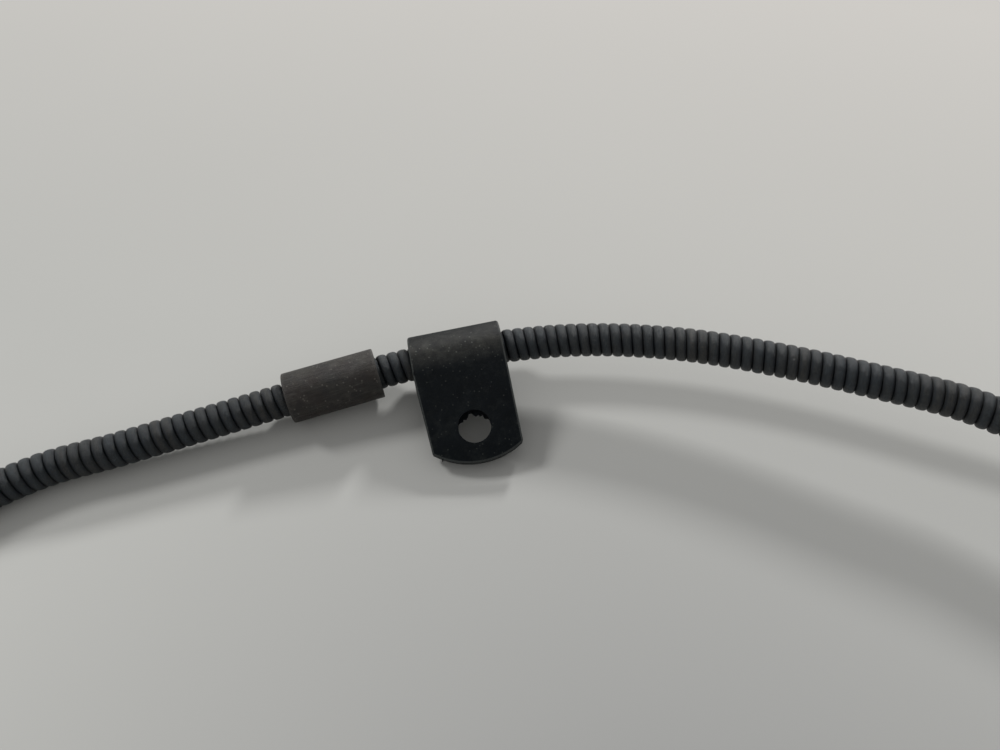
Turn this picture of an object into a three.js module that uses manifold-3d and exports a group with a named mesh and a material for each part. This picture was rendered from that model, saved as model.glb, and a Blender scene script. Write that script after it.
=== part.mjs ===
// A parking brake cable, in millimetres, +Z up, lying on the plane Z = 0.
// A spiral-wound steel conduit guides an inner wire strand. A plain sleeve is crimped on the
// conduit, a folded clip bolts it to the car, and both ends carry a ferrule and a strand fitting.

import * as THREE from 'three';
import { mergeVertices } from 'three/addons/utils/BufferGeometryUtils.js';
import Module from 'manifold-3d';

const wasm = await Module();
wasm.setup();

// Fits and clearances
const seatGap = 0.3;
const strandSlack = 0.6;
const clipSlack = 0.8;

// Conduit and strand
const conduitDiameter = 8;
const strandDiameter = 3.2;
const strandStroke = 12;
const frontTail = 20;
const rearTail = 14;
const layLength = 268.9;
const layWidth = 130.2;

// Crimped sleeve
const sleeveDiameter = 11.9;
const sleeveLength = 22.3;
const sleeveFromRear = 402.75;
const sleeveEdge = 0.35;

// Support clip
const clipSheet = 1.6;
const clipWidth = 22.6;
const clipTipWidth = 21.2;
const clipReach = 27.8;
const clipTipRadius = 18.7;
const clipFoldRadius = 2;
const clipFromSleeve = 31;
const clipHoleDiameter = 7.8;
const clipHoleEdge = 8.4;
const clipHoleOffset = -0.3;
const cleanRimFirstAngle = -20;
const cleanRimLastAngle = 200;
const cleanRimPoints = 18;
const backLeafShift = 0.25;
const backLeafExtra = 0.35;
// The torn rim that the punch left on the back leaf: degrees round the hole, height of the tear
const burrs = [
  [205, 0.1], [216, 0.7], [228, 0.3], [237, 0.9], [246, 0.7], [255, 1.1], [266, 0.75],
  [274, 0.2], [281, 0.15], [291, 0.8], [303, 1.05], [312, 0.5], [321, 0.75], [333, 0.1],
];

// Ferrules, the same bar at both ends
const ferruleDiameter = 12.5;
const flangeDiameter = 16;
const flangeThickness = 2.5;
const ferruleEdge = 0.5;
const crimpGroove = 0.35;
const crimpGrooveWidth = 1.6;
const crimpGroovePlaces = [5.4, 10.8];
const crimpCover = 18;

// Front end: neck, spring clip, threaded stud
const frontBody = 4;
const frontNeckDiameter = 11;
const frontNeckLength = 9.5;
const bracketThickness = 3;
const clipGrooveDiameter = 8.8;
const retainingSheet = 1.5;
const retainingDiameter = 15.6;
const retainingMouth = 74;
const studStart = 30;
const swageDiameter = 7.5;
const swageLength = 20;
const studDiameter = 6.3;
const studLength = 30;
const washerDiameter = 13;
const washerThickness = 1.4;
const nutAcrossFlats = 11;
const nutThickness = 5.5;
const lockNutThickness = 4;
const nutPlace = 14;

// Rear end: nose, finger collar, spring, button
const rearBody = 14.5;
const noseDiameter = 10;
const noseLength = 13;
const noseLip = 0.8;
const collarSheet = 0.9;
const collarWidth = 3.4;
const fingerCount = 3;
const fingerAngle = 46;
const fingerDiameter = 17.6;
const springWire = 1.4;
const springDiameter = 11.4;
const springLength = 26;
const springTurns = 7;
const cupSheet = 1.2;
const cupRim = 2.6;
const buttonDiameter = 9.5;
const buttonLength = 9;
const buttonEdge = 0.8;

// Rubber seals in both mouths
const sealLip = 1;
const sealDepth = 4;
const sealWall = 1.6;

// Facets
const roundSides = 24;
const conduitSides = 12;
const conduitSteps = 96;
const strandSides = 8;
const strandEndSides = 16;
const weldDistance = 1e-4;

// The lay of the conduit's centre line, from its rear end to its front end
const layPoints = [
  [98, -43, 8], [82, -43, 8], [70, -43, 8], [54, -43.3, 7.3],
  [32, -44.6, 5.2], [10, -46.2, 4.1], [-20, -48, 4], [-58, -49.6, 4],
  [-87, -53.4, 4], [-116.3, -55.6, 4], [-136.6, -48.4, 4], [-150.1, -34.2, 4],
  [-155.9, -15.9, 4], [-153.5, 2.9, 4.1], [-143.8, 18.6, 4.3], [-127, 30.3, 4.6],
  [-109.6, 36.4, 5.1], [-83.8, 45.8, 5.9], [-62.6, 53.2, 7], [-44.2, 58.6, 8.4],
  [-20, 63, 10.4], [0, 63.6, 12], [21.6, 60.9, 13.5], [41.9, 55.5, 14.7],
  [63.4, 47.8, 16], [84.2, 39.2, 16.9], [102.7, 24.4, 17.4], [113, 2.2, 17.8],
  [111.1, -21.5, 18.2], [97.2, -41.7, 18.6], [74.4, -53.6, 17.9], [50, -57.2, 14.3],
  [26, -61.2, 9.3], [4, -64.4, 5.6], [-16, -66.2, 4.2], [-36, -66.6, 5.5],
  [-54, -66.5, 8], [-66, -66.5, 8], [-82, -66.5, 8],
];
const lay = layPoints.map((point) => new THREE.Vector3(...point));
const drawn = new THREE.Box3().setFromPoints(lay).getSize(new THREE.Vector3());
const laySize = new THREE.Vector3(layLength / drawn.x, layWidth / drawn.y, 1);
const route = new THREE.CatmullRomCurve3(lay.map((point) => point.multiply(laySize)));
route.arcLengthDivisions = 1000;

// Sizes that follow from the driving ones
const conduitRadius = conduitDiameter / 2;
const strandRadius = strandDiameter / 2;
const conduitBore = strandRadius + strandSlack;
const slidingBore = strandRadius + seatGap;
const ferruleBore = conduitRadius + seatGap;
const ferruleRadius = ferruleDiameter / 2;
const flangeRadius = flangeDiameter / 2;
const loopInside = conduitRadius + clipSlack;
const loopOutside = loopInside + clipSheet;
const backLeafTop = loopInside - seatGap;
const backLeafBottom = backLeafTop - clipSheet;
const sealRadius = slidingBore + sealWall;
const clipFromRear = sleeveFromRear + clipFromSleeve;

// Materials
const finish = (color, roughness, metalness) =>
  new THREE.MeshStandardMaterial({ color, roughness, metalness });
const paintedWire = finish(0x1b2228, 0.45, 0.6);
const sleeveSteel = finish(0x3a3733, 0.6, 0.7);
const clipSteel = finish(0x14181c, 0.5, 0.6);
const strandSteel = finish(0x8b8d8f, 0.4, 0.9);
const fittingSteel = finish(0x5d5a54, 0.5, 0.8);
const platedSteel = finish(0x8a8374, 0.45, 0.85);
const springSteel = finish(0x2a2c2e, 0.4, 0.8);
const blackRubber = finish(0x161616, 0.85, 0);

// Helpers

// A closed solid from a three.js geometry, its seams welded and its pole slivers left out
function solid(geometry) {
  const bare = geometry.clone();
  bare.deleteAttribute('normal');
  bare.deleteAttribute('uv');
  const merged = mergeVertices(bare, weldDistance);
  const corners = merged.index.array;
  const kept = [];
  for (let i = 0; i < corners.length; i += 3) {
    const triangle = [corners[i], corners[i + 1], corners[i + 2]];
    if (new Set(triangle).size === 3) {
      kept.push(...triangle);
    }
  }
  return new wasm.Manifold(new wasm.Mesh({
    numProp: 3,
    vertProperties: Float32Array.from(merged.attributes.position.array),
    triVerts: Uint32Array.from(kept),
  }));
}

// The named mesh of a solid
function piece(name, body, material) {
  const { vertProperties, triVerts } = body.getMesh();
  const geometry = new THREE.BufferGeometry();
  geometry.setAttribute('position', new THREE.BufferAttribute(vertProperties, 3));
  geometry.setIndex(new THREE.BufferAttribute(triVerts, 1));
  geometry.computeVertexNormals();
  const mesh = new THREE.Mesh(geometry, material);
  mesh.name = name;
  return mesh;
}

// A turned piece along X, from [place along X, radius] pairs
function turned(profile, sides = roundSides) {
  const points = profile.map(([along, radius]) => new THREE.Vector2(radius, along));
  const geometry = new THREE.LatheGeometry(points, sides);
  geometry.rotateZ(-Math.PI / 2);
  return solid(geometry);
}

// A flat shape given in the YZ plane and pressed along X from one place to another
function pressed(shape, from, to, curveSegments = 12) {
  const geometry = new THREE.ExtrudeGeometry(shape, { depth: to - from, bevelEnabled: false, curveSegments });
  const [x, y, z] = [new THREE.Vector3(1, 0, 0), new THREE.Vector3(0, 1, 0), new THREE.Vector3(0, 0, 1)];
  geometry.applyMatrix4(new THREE.Matrix4().makeBasis(y, z, x));
  geometry.translate(from, 0, 0);
  return solid(geometry);
}

const radians = THREE.MathUtils.degToRad;

// The point at a radius and an angle
function polar(radius, angle) {
  return new THREE.Vector2(radius * Math.cos(angle), radius * Math.sin(angle));
}

// The corners of a regular polygon
function polygon(radius, sides) {
  return Array.from({ length: sides }, (_, i) => polar(radius, (2 * Math.PI * i) / sides));
}

// Conduit and strand

// The part of the route between two lengths along it
class Stretch extends THREE.Curve {
  constructor(from, to) {
    super();
    this.from = from / route.getLength();
    this.to = to / route.getLength();
  }

  getPoint(t) {
    return route.getPointAt(THREE.MathUtils.lerp(this.from, this.to, t));
  }
}

function conduit() {
  const section = new THREE.Shape(polygon(conduitRadius, conduitSides));
  section.holes.push(new THREE.Path(polygon(conduitBore, strandSides)));
  const tube = new THREE.ExtrudeGeometry(section, { steps: conduitSteps, extrudePath: route });
  return piece('conduit', solid(tube), paintedWire);
}

function strandCore() {
  const rearEnd = rearTail + strandStroke + seatGap;
  const frontEnd = route.getLength() - frontTail - seatGap;
  const section = new THREE.Shape(polygon(strandRadius, strandSides));
  const path = new Stretch(rearEnd, frontEnd);
  const rod = new THREE.ExtrudeGeometry(section, { steps: conduitSteps, extrudePath: path });
  return piece('strand_core', solid(rod), strandSteel);
}

function strandEnd(name, from, to) {
  const rod = turned([[from, 0], [from, strandRadius], [to, strandRadius], [to, 0]], strandEndSides);
  return piece(name, rod, strandSteel);
}

// Crimped sleeve

function crimpSleeve() {
  const half = sleeveLength / 2;
  const outer = sleeveDiameter / 2;
  const sleeve = turned([
    [-half, ferruleBore],
    [-half, outer - sleeveEdge],
    [sleeveEdge - half, outer],
    [half - sleeveEdge, outer],
    [half, outer - sleeveEdge],
    [half, ferruleBore],
    [-half, ferruleBore],
  ]);
  return piece('crimp_sleeve', sleeve, sleeveSteel);
}

// Support clip: X along the conduit, Y along the leaves, Z out of the front leaf

// The sheet's edge as it is folded: front leaf, round the loop, and back under as the back leaf
function foldedSheet() {
  const foldHeight = (backLeafTop + backLeafBottom) / 2 - clipFoldRadius;
  const foldDistance = (loopInside + loopOutside) / 2 + clipFoldRadius;
  const foldStart = Math.sqrt(foldDistance ** 2 - foldHeight ** 2);
  const meeting = Math.atan2(foldHeight, foldStart);
  const innerFold = clipFoldRadius - clipSheet / 2;
  const outerFold = clipFoldRadius + clipSheet / 2;
  const end = clipReach + backLeafExtra + clipSheet;
  const sheet = new THREE.Shape();
  sheet.moveTo(end, loopOutside);
  sheet.lineTo(0, loopOutside);
  sheet.absarc(0, 0, loopOutside, Math.PI / 2, 2 * Math.PI + meeting, false);
  sheet.absarc(foldStart, foldHeight, innerFold, Math.PI + meeting, Math.PI / 2, true);
  sheet.lineTo(end, backLeafBottom);
  sheet.lineTo(end, backLeafTop);
  sheet.absarc(foldStart, foldHeight, outerFold, Math.PI / 2, Math.PI + meeting, false);
  sheet.absarc(0, 0, loopInside, 2 * Math.PI + meeting, Math.PI / 2, true);
  sheet.lineTo(end, loopInside);
  return sheet;
}

// A leaf's outline seen square on: straight over the loop, tapered, and round at the tip
function leafOutline(reach, shift, hole) {
  const wide = clipWidth / 2;
  const narrow = clipTipWidth / 2;
  const tipCentre = reach - clipTipRadius;
  const swing = Math.asin(narrow / clipTipRadius);
  const outline = new THREE.Shape();
  outline.moveTo(-wide, -2 * loopOutside);
  outline.lineTo(wide, -2 * loopOutside);
  outline.lineTo(wide, loopInside);
  outline.absarc(shift, tipCentre, clipTipRadius, Math.PI / 2 - swing, Math.PI / 2 + swing, false);
  outline.lineTo(-wide, loopInside);
  outline.holes.push(hole);
  return outline;
}

function clipHole(tears) {
  const radius = clipHoleDiameter / 2;
  const step = (cleanRimLastAngle - cleanRimFirstAngle) / (cleanRimPoints - 1);
  const cleanRim = Array.from({ length: cleanRimPoints }, (_, i) => [cleanRimFirstAngle + i * step, 0]);
  const rim = [...cleanRim, ...tears].map(([angle, height]) => polar(radius - height, radians(angle)));
  const centre = new THREE.Vector2(clipHoleOffset, clipReach - clipHoleEdge);
  return new THREE.Path(rim.map((point) => point.add(centre)));
}

function supportClip() {
  const leafSplit = (loopInside + backLeafTop) / 2;
  const flat = (shape, from, to) => {
    const slab = new THREE.ExtrudeGeometry(shape, { depth: to - from, bevelEnabled: false, curveSegments: 12 });
    slab.translate(0, 0, from);
    return solid(slab);
  };
  const untorn = burrs.map(([angle]) => [angle, 0]);
  const front = leafOutline(clipReach, 0, clipHole(untorn));
  const back = leafOutline(clipReach + backLeafExtra, backLeafShift, clipHole(burrs));
  const outline = flat(front, leafSplit, 2 * loopOutside).add(flat(back, -2 * loopOutside, leafSplit));
  const sheet = pressed(foldedSheet(), -clipWidth, clipWidth, 14);
  return piece('support_clip', sheet.intersect(outline), clipSteel);
}

// Ferrules: X outward along the cable's end, X = 0 at the end of the conduit

// The crimped tube that both ferrules start with, up to the flange's outer face
function ferruleBody(bodyEnd) {
  const profile = [[-crimpCover, ferruleBore], [-crimpCover, ferruleRadius - ferruleEdge]];
  profile.push([ferruleEdge - crimpCover, ferruleRadius]);
  for (const place of crimpGroovePlaces) {
    const start = place - crimpCover;
    const floor = ferruleRadius - crimpGroove;
    profile.push([start, ferruleRadius], [start + crimpGroove, floor]);
    profile.push([start + crimpGrooveWidth, floor], [start + crimpGrooveWidth + crimpGroove, ferruleRadius]);
  }
  profile.push([bodyEnd, ferruleRadius], [bodyEnd, flangeRadius]);
  profile.push([bodyEnd + flangeThickness, flangeRadius]);
  return profile;
}

// The bore from the mouth's face back to the crimped end: seal pocket, strand bore, conduit socket
function ferruleInside(face) {
  return [
    [face, sealRadius + seatGap],
    [face - sealDepth, sealRadius + seatGap],
    [face - sealDepth, conduitBore],
    [seatGap, conduitBore],
    [seatGap, ferruleBore],
    [-crimpCover, ferruleBore],
  ];
}

const frontFace = frontBody + flangeThickness + frontNeckLength;
const grooveStart = frontBody + flangeThickness + bracketThickness;
const grooveEnd = grooveStart + retainingSheet + 2 * seatGap;

function frontFerrule() {
  const neck = frontNeckDiameter / 2;
  const ferrule = turned([
    ...ferruleBody(frontBody),
    [frontBody + flangeThickness, neck],
    [grooveStart, neck],
    [grooveStart, clipGrooveDiameter / 2],
    [grooveEnd, clipGrooveDiameter / 2],
    [grooveEnd, neck],
    [frontFace - ferruleEdge, neck],
    [frontFace, neck - ferruleEdge],
    ...ferruleInside(frontFace),
  ]);
  return piece('front_ferrule', ferrule, fittingSteel);
}

function frontRetainingClip() {
  const inner = clipGrooveDiameter / 2 + seatGap;
  const mouth = radians(retainingMouth / 2);
  const shape = new THREE.Shape();
  shape.absarc(0, 0, retainingDiameter / 2, Math.PI / 2 + mouth, Math.PI * 2.5 - mouth, false);
  shape.absarc(0, 0, inner, Math.PI * 2.5 - mouth, Math.PI / 2 + mouth, true);
  const from = grooveStart + seatGap;
  return piece('front_retaining_clip', pressed(shape, from, from + retainingSheet), springSteel);
}

const noseStart = rearBody + flangeThickness;
const rearFace = noseStart + noseLength;
const collarEnd = rearFace - noseLip - seatGap;

function rearFerrule() {
  const nose = noseDiameter / 2;
  const ferrule = turned([
    ...ferruleBody(rearBody),
    [noseStart, nose],
    [rearFace - noseLip, nose],
    [rearFace - noseLip, nose + noseLip],
    [rearFace, nose + noseLip / 2],
    ...ferruleInside(rearFace),
  ]);
  return piece('rear_ferrule', ferrule, fittingSteel);
}

// A sheet collar round the nose whose fingers flare back towards the flange
function fingerRetainer() {
  const inner = noseDiameter / 2 + seatGap;
  const outer = inner + collarSheet;
  const shoulder = collarEnd - collarWidth;
  const tip = noseStart + bracketThickness;
  const spread = fingerDiameter / 2;
  const collar = turned([
    [collarEnd, inner],
    [shoulder, inner],
    [tip, spread - collarSheet],
    [tip, spread],
    [shoulder, outer],
    [collarEnd, outer],
    [collarEnd, inner],
  ]);
  const gapAngle = radians(360 / fingerCount - fingerAngle);
  const reach = fingerDiameter;
  const cutters = Array.from({ length: fingerCount }, (_, i) => {
    const middle = -Math.PI / 2 + (i * 2 * Math.PI) / fingerCount;
    const sides = [polar(reach, middle - gapAngle / 2), polar(reach, middle + gapAngle / 2)];
    return pressed(new THREE.Shape([new THREE.Vector2(), ...sides]), 0, shoulder);
  });
  const fingers = cutters.reduce((left, cutter) => left.subtract(cutter), collar);
  return piece('finger_retainer', fingers, springSteel);
}

function seal(name, face) {
  const bush = turned([
    [face - sealDepth + seatGap, slidingBore],
    [face - sealDepth + seatGap, sealRadius],
    [face + seatGap, sealRadius],
    [face + seatGap, sealRadius + seatGap],
    [face + sealLip, sealRadius + seatGap],
    [face + sealLip, slidingBore],
    [face - sealDepth + seatGap, slidingBore],
  ]);
  return piece(name, bush, blackRubber);
}

// Front strand fitting

const studEnd = studStart + swageLength + studLength;
const nutStart = studStart + swageLength + nutPlace;

function threadedStud() {
  const swage = swageDiameter / 2;
  const shank = studDiameter / 2;
  const stud = turned([
    [studStart + swageLength - ferruleEdge, 0],
    [studStart + swageLength - ferruleEdge, slidingBore],
    [studStart, slidingBore],
    [studStart, swage - ferruleEdge],
    [studStart + ferruleEdge, swage],
    [studStart + swageLength, swage],
    [studStart + swageLength + swage - shank, shank],
    [studEnd - ferruleEdge, shank],
    [studEnd, shank - ferruleEdge],
    [studEnd, 0],
  ]);
  return piece('threaded_stud', stud, platedSteel);
}

function studWasher() {
  const bore = studDiameter / 2 + seatGap;
  const end = nutStart - seatGap;
  const start = end - washerThickness;
  const outer = washerDiameter / 2;
  const washer = turned([[start, bore], [start, outer], [end, outer], [end, bore], [start, bore]]);
  return piece('stud_washer', washer, platedSteel);
}

// A hexagon nut with its corners turned off on both faces
function nut(name, start, thickness) {
  const bore = studDiameter / 2 + seatGap;
  const corner = nutAcrossFlats / Math.sqrt(3);
  const flat = nutAcrossFlats / 2;
  const shape = new THREE.Shape(polygon(corner, 6));
  shape.holes.push(new THREE.Path(polygon(bore, roundSides / 2)));
  const chamfer = (corner - flat) / 2;
  const end = start + thickness;
  const blank = turned([
    [start, 0],
    [start, flat],
    [start + chamfer, corner],
    [end - chamfer, corner],
    [end, flat],
    [end, 0],
  ]);
  return piece(name, pressed(shape, start, end).intersect(blank), platedSteel);
}

// Rear strand fitting

const springStart = rearFace + sealLip + seatGap;
const cupStart = springStart + springLength + seatGap;
const buttonStart = cupStart + cupSheet + seatGap;

// The spring's wire, its coils closer together at both ends
class SpringWire extends THREE.Curve {
  getPoint(t) {
    const radius = (springDiameter - springWire) / 2;
    const angle = 2 * Math.PI * springTurns * t;
    const eased = t - Math.sin(2 * Math.PI * t) / (4 * Math.PI);
    const along = springStart + springWire / 2 + eased * (springLength - springWire);
    return new THREE.Vector3(along, radius * Math.cos(angle), radius * Math.sin(angle));
  }
}

function returnSpring() {
  const section = new THREE.Shape(polygon(springWire / 2, 6));
  const path = new SpringWire();
  const coil = new THREE.ExtrudeGeometry(section, { steps: springTurns * 14, extrudePath: path });
  return piece('return_spring', solid(coil), springSteel);
}

function springCup() {
  const inside = springDiameter / 2 + seatGap;
  const outside = inside + cupSheet;
  const rimStart = cupStart - cupRim;
  const cup = turned([
    [cupStart + cupSheet, slidingBore],
    [cupStart, slidingBore],
    [cupStart, inside],
    [rimStart, inside],
    [rimStart, outside],
    [cupStart + cupSheet / 2, outside],
    [cupStart + cupSheet, outside - cupSheet / 2],
    [cupStart + cupSheet, slidingBore],
  ]);
  return piece('spring_cup', cup, fittingSteel);
}

function endButton() {
  const radius = buttonDiameter / 2;
  const end = buttonStart + buttonLength;
  const button = turned([
    [end - buttonEdge - seatGap, 0],
    [end - buttonEdge - seatGap, slidingBore],
    [buttonStart, slidingBore],
    [buttonStart, radius - buttonEdge / 2],
    [buttonStart + buttonEdge / 2, radius],
    [end - buttonEdge, radius],
    [end, radius - buttonEdge],
    [end, 0],
  ]);
  return piece('end_button', button, fittingSteel);
}

// Assembly

const cable = new THREE.Group();
cable.add(conduit(), strandCore());

const outward = new THREE.Vector3(1, 0, 0);
const heading = (length) => route.getTangentAt(length / route.getLength());

const sleeve = crimpSleeve();
sleeve.position.copy(route.getPointAt(sleeveFromRear / route.getLength()));
sleeve.quaternion.setFromUnitVectors(outward, heading(sleeveFromRear));
cable.add(sleeve);

// The clip hangs on the conduit and leans until its tip touches the ground
const clip = supportClip();
clip.position.copy(route.getPointAt(clipFromRear / route.getLength()));
const tipReach = clipReach + backLeafExtra;
const lean = Math.asin((clip.position.z - seatGap) / Math.hypot(tipReach, backLeafBottom))
  + Math.atan2(backLeafBottom, tipReach);
const along = heading(clipFromRear).negate();
const level = new THREE.Vector3(-along.y, along.x, 0).normalize();
const upright = new THREE.Vector3().crossVectors(along, level);
const leafWay = level.multiplyScalar(Math.cos(lean)).addScaledVector(upright, -Math.sin(lean));
const leafNormal = new THREE.Vector3().crossVectors(along, leafWay);
clip.quaternion.setFromRotationMatrix(new THREE.Matrix4().makeBasis(along, leafWay, leafNormal));
cable.add(clip);

const frontEnd = new THREE.Group();
frontEnd.position.copy(route.getPointAt(1));
frontEnd.quaternion.setFromUnitVectors(outward, route.getTangentAt(1));
frontEnd.add(
  frontFerrule(),
  frontRetainingClip(),
  seal('front_seal', frontFace),
  strandEnd('strand_front', -frontTail, studStart + swageLength - ferruleEdge - seatGap),
  threadedStud(),
  studWasher(),
  nut('adjusting_nut', nutStart, nutThickness),
  nut('lock_nut', nutStart + nutThickness + seatGap, lockNutThickness),
);
cable.add(frontEnd);

const rearEnd = new THREE.Group();
rearEnd.position.copy(route.getPointAt(0));
rearEnd.quaternion.setFromUnitVectors(outward, route.getTangentAt(0).negate());
rearEnd.add(
  rearFerrule(),
  fingerRetainer(),
  seal('rear_seal', rearFace),
  strandEnd('strand_rear', -rearTail, buttonStart + buttonLength - buttonEdge - 2 * seatGap),
  returnSpring(),
  springCup(),
  endButton(),
);
cable.add(rearEnd);

// The origin is at the middle of the ground that the cable covers
cable.updateMatrixWorld(true);
const box = new THREE.Box3().setFromObject(cable, true);
const middle = box.getCenter(new THREE.Vector3());
cable.position.set(-middle.x, -middle.y, -box.min.z);
cable.updateMatrixWorld(true);

export default cable;
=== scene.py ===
import math

import bmesh
import bpy
import numpy as np
from mathutils import Matrix, Vector


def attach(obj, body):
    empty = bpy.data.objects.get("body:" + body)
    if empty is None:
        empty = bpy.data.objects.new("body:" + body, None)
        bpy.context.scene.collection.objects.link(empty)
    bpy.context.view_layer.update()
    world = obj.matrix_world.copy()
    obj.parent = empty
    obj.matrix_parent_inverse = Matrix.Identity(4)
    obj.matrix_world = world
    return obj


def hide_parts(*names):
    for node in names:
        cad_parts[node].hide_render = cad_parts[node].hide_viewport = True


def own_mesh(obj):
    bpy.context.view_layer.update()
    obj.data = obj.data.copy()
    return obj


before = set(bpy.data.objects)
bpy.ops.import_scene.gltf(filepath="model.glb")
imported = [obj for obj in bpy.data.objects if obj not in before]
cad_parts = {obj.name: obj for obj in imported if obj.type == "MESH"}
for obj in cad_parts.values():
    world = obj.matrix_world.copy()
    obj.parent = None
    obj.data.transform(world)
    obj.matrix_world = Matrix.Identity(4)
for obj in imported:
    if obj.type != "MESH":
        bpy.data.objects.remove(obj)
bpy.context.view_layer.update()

# Sizes in millimetres. The conduit, its wire and the sleeve; the sleeve's place is measured from the rear end
CONDUIT_RADIUS = 4.0
WINDING_RADIUS = 4.12
FLOOR_GAP = 0.02
STRAND_RADIUS = 1.6
WIRE_PITCH = 2.58
WIRE_CROWN = 0.95
CONDUIT_BORE = 2.32
SLEEVE_STATION = 402.75
SLEEVE_LENGTH = 22.3
SLEEVE_RADIUS = 12.3 / 2
SEAT_GAP = 0.3
# The clip's sheet, the inside of its loop and the fold between loop and back leaf
SHEET = 1.6
LOOP_INSIDE = CONDUIT_RADIUS + 0.8
FOLD_RADIUS = 2.0
# The end fittings
FERRULE_RADIUS = 6.25
FLANGE_RADIUS = 8.0
SOCKET_RADIUS = 4.3
POCKET_RADIUS = 3.8
SEAL_RADIUS = 3.5
SLIDING_BORE = 1.9
THREAD_RADIUS = 3.15
NUT_BORE = 3.45

# The conduit's centre line from its rear end to its front end, and the table origin's offset from it
ROUTE = [
    (98, -43, 8), (82, -43, 8), (70, -43, 8), (54, -43.3, 7.3),
    (32, -44.6, 5.2), (10, -46.2, 4.1), (-20, -48, 4), (-58, -49.6, 4),
    (-87, -53.4, 4), (-116.3, -55.6, 4), (-136.6, -48.4, 4), (-150.1, -34.2, 4),
    (-155.9, -15.9, 4), (-153.5, 2.9, 4.1), (-143.8, 18.6, 4.3), (-127, 30.3, 4.6),
    (-109.6, 36.4, 5.1), (-83.8, 45.8, 5.9), (-62.6, 53.2, 7), (-44.2, 58.6, 8.4),
    (-20, 63, 10.4), (0, 63.6, 12), (21.6, 60.9, 13.5), (41.9, 55.5, 14.7),
    (63.4, 47.8, 16), (84.2, 39.2, 16.9), (102.7, 24.4, 17.4), (113, 2.2, 17.8),
    (111.1, -21.5, 18.2), (97.2, -41.7, 18.6), (74.4, -53.6, 17.9), (50, -57.2, 14.3),
    (26, -61.2, 9.3), (4, -64.4, 5.6), (-16, -66.2, 4.2), (-36, -66.6, 5.5),
    (-54, -66.5, 8), (-66, -66.5, 8), (-82, -66.5, 8),
]
SHIFT = (-2.05, 2.521, 0.031)

MM = 0.001
TO_METRES = Matrix.Scale(MM, 4)
X_AXIS = Vector((1, 0, 0))
REAR_END = Matrix.Translation(Vector(ROUTE[0]) + Vector(SHIFT))
FRONT_END = Matrix.Translation(Vector(ROUTE[-1]) + Vector(SHIFT)) @ Matrix.Rotation(math.pi, 4, "Y")
CLIP_PLACE = Matrix((
    (-0.979336, 0.202202, 0.003861, -34.577),
    (-0.184901, -0.887477, -0.422133, 63.617),
    (-0.081929, -0.414124, 0.906526, 9.391),
    (0, 0, 0, 1),
))


def laid_route(steps=24):
    """The conduit's centre line in millimetres, as a fine row of points"""
    marks = np.array(ROUTE, float) + SHIFT
    # The winding stands proud of the plain tube, so its line is lifted where it lies on the table
    marks[:, 2] = np.maximum(marks[:, 2], WINDING_RADIUS + FLOOR_GAP)
    marks = np.vstack([2 * marks[0] - marks[1], marks, 2 * marks[-1] - marks[-2]])
    run = []
    for i in range(1, len(marks) - 2):
        before, here, there, after = marks[i - 1:i + 3]
        gaps = [np.linalg.norm(q - p) ** 0.5 for p, q in ((before, here), (here, there), (there, after))]
        leave = (here - before) / gaps[0] - (there - before) / (gaps[0] + gaps[1]) + (there - here) / gaps[1]
        arrive = (there - here) / gaps[1] - (after - here) / (gaps[1] + gaps[2]) + (after - there) / gaps[2]
        leave, arrive = leave * gaps[1], arrive * gaps[1]
        t = np.linspace(0, 1, steps, endpoint=False)[:, None]
        bend = 3 * (there - here) - 2 * leave - arrive
        turn = 2 * (here - there) + leave + arrive
        run.append(here + leave * t + bend * t ** 2 + turn * t ** 3)
    run.append(marks[-2:-1])
    return np.vstack(run)


route = laid_route()
route_lengths = np.r_[0, np.cumsum(np.linalg.norm(np.diff(route, axis=0), axis=1))]
conduit_length = route_lengths[-1]


def station(length):
    """The place on the centre line at a length from the rear end, X along the conduit"""
    behind, ahead = (Vector([np.interp(place, route_lengths, route[:, k]) for k in range(3)])
                     for place in (length - 0.5, length + 0.5))
    return Matrix.Translation((behind + ahead) / 2) @ turned_towards(X_AXIS, (ahead - behind).normalized())


def turned_towards(axis, direction):
    """The turn that brings an axis to a direction"""
    return axis.rotation_difference(direction).to_matrix().to_4x4()


# Camera, over the near side of the table and looking down across it
view = bpy.data.cameras.new("camera")
view.sensor_width = 36
view.lens = 27.04
view.clip_start = 0.01
view.clip_end = 20
camera = bpy.data.objects.new("camera", view)
camera.location = (-0.02405, -0.054479, 0.15233)
camera.rotation_euler = (math.radians(38), 0, 0)
bpy.context.scene.collection.objects.link(camera)
bpy.context.scene.camera = camera
bpy.context.scene.view_settings.view_transform = "Standard"


# Making pieces: each is shaped in millimetres in a frame of its own, then set in its place

def finished(name, form, place, body, material, replaced):
    """A shaped form as a piece of the part, in its place and in metres"""
    form.transform(TO_METRES @ place)
    return dressed(name, mesh_of(form), body, material, replaced)


def dressed(name, mesh, body, material, replaced):
    """A mesh in its place as a piece of the part: its body, its finish and the plain solid it stands for"""
    mesh.name = name
    piece = bpy.data.objects.new(name, mesh)
    bpy.context.scene.collection.objects.link(piece)
    mesh.materials.clear()
    mesh.materials.append(material)
    mesh.shade_smooth()
    mesh.set_sharp_from_angle(angle=math.radians(40))
    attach(piece, body)
    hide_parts(replaced)
    return piece


def shaped(plain, kind, **settings):
    """A plain mesh with one modifier applied"""
    source = bpy.data.objects.new("shaping", plain)
    bpy.context.scene.collection.objects.link(source)
    modifier = source.modifiers.new(kind, kind)
    for key, value in settings.items():
        setattr(modifier, key, value)
    bpy.context.view_layer.update()
    seen = source.evaluated_get(bpy.context.evaluated_depsgraph_get())
    mesh = bpy.data.meshes.new_from_object(seen)
    bpy.data.objects.remove(source)
    return mesh


def mesh_of(form):
    """A form as a mesh; the form is used up"""
    mesh = bpy.data.meshes.new("shaping")
    form.to_mesh(mesh)
    form.free()
    return mesh


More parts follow.
